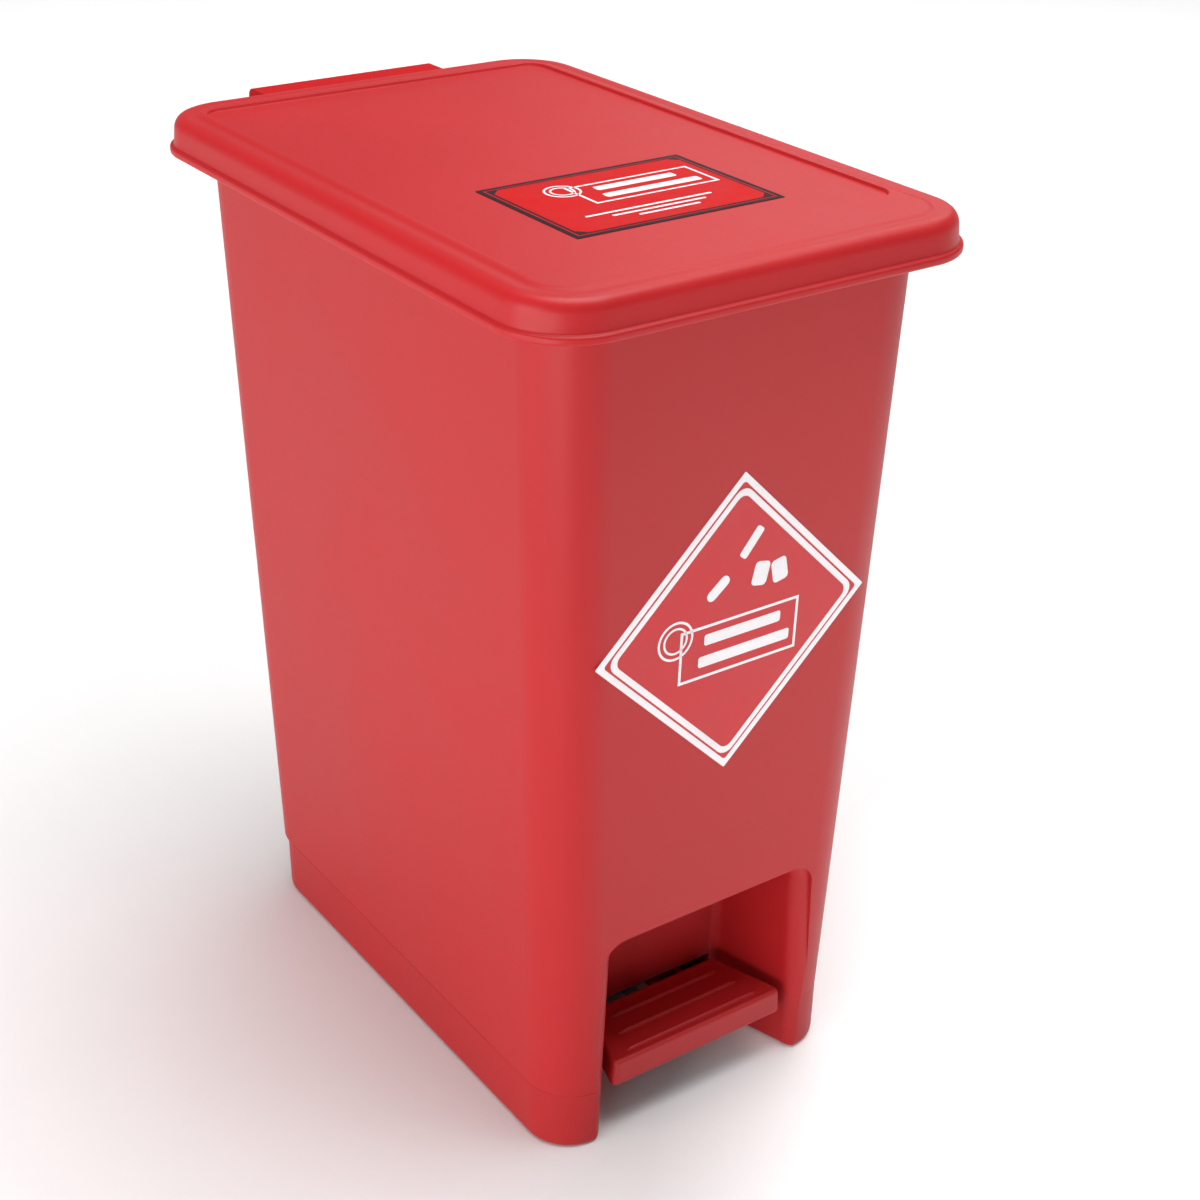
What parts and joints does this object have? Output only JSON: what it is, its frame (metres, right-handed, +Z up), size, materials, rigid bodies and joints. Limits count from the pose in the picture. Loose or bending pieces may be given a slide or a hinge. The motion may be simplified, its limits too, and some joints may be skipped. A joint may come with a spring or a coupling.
{
  "type": "pedal waste bin",
  "caption": "Slim tapered red plastic waste bin with a hinged overhanging lid, a foot pedal in a front recess, a rear push rod and warning-coloured blank labels.",
  "frame": {"origin": "centre of the bounding box on the floor plane, lid closed", "axes": "+Z up; -Y is the front with the pedal, +Y the hinge side; +X along the width, to the left of a viewer behind the bin"},
  "size_m": [0.218, 0.3412, 0.4169],
  "materials": {
    "body_red": "satin moulded",
    "base_red": "satin moulded",
    "lid_red": "satin moulded",
    "pedal_red": "satin moulded",
    "steel": "plated",
    "pale_plastic": "natural acetal",
    "soft_black": "soft",
    "lever_steel": "grey primer",
    "label_vinyl": "printed vinyl film"
  },
  "bodies": {
    "body": {"tub": "body_red", "base_frame": "base_red", "hinge_bushes": "pale_plastic", "rod_guides": "pale_plastic", "rod_cover": "body_red", "cover_screws": "steel", "pedal_axle": "steel", "axle_spacers": "pale_plastic", "axle_clips": "steel", "base_screws": "steel", "front_label": "label_vinyl"},
    "lid_group": {"lid": "lid_red", "hinge_housing": "lid_red", "hinge_pin": "steel", "hinge_clips": "steel", "housing_screws": "steel", "crank_pin": "steel", "lid_buffers": "soft_black", "lid_label": "label_vinyl"},
    "rod_group": {"rod_head": "pale_plastic", "push_rod": "steel", "rod_foot": "pale_plastic", "link_pin": "steel"},
    "lever_group": {"pedal_lever": "lever_steel", "pedal_tread": "pedal_red", "tread_screws": "steel"}
  },
  "joints": [
    {"name": "lid_hinge", "type": "hinge", "parent": "body", "child": "lid_group", "pos_m": [0, 0.163, 0.405], "axis": [-1, 0, 0], "range_deg": [0, 75]},
    {"name": "rod_slide", "type": "slide", "parent": "body", "child": "rod_group", "axis": [0, 0.0186, 0.9998], "range_m": [0, 0.02194]},
    {"name": "pedal_pivot", "type": "hinge", "parent": "body", "child": "lever_group", "pos_m": [0, 0, 0.023], "axis": [1, 0, 0], "range_deg": [0, 8.97]}
  ],
  "couplings": [
    {"joint": "rod_slide", "follows": "lid_hinge", "m_per_rad": 0.016745},
    {"joint": "pedal_pivot", "follows": "lid_hinge", "ratio": 0.11957}
  ]
}
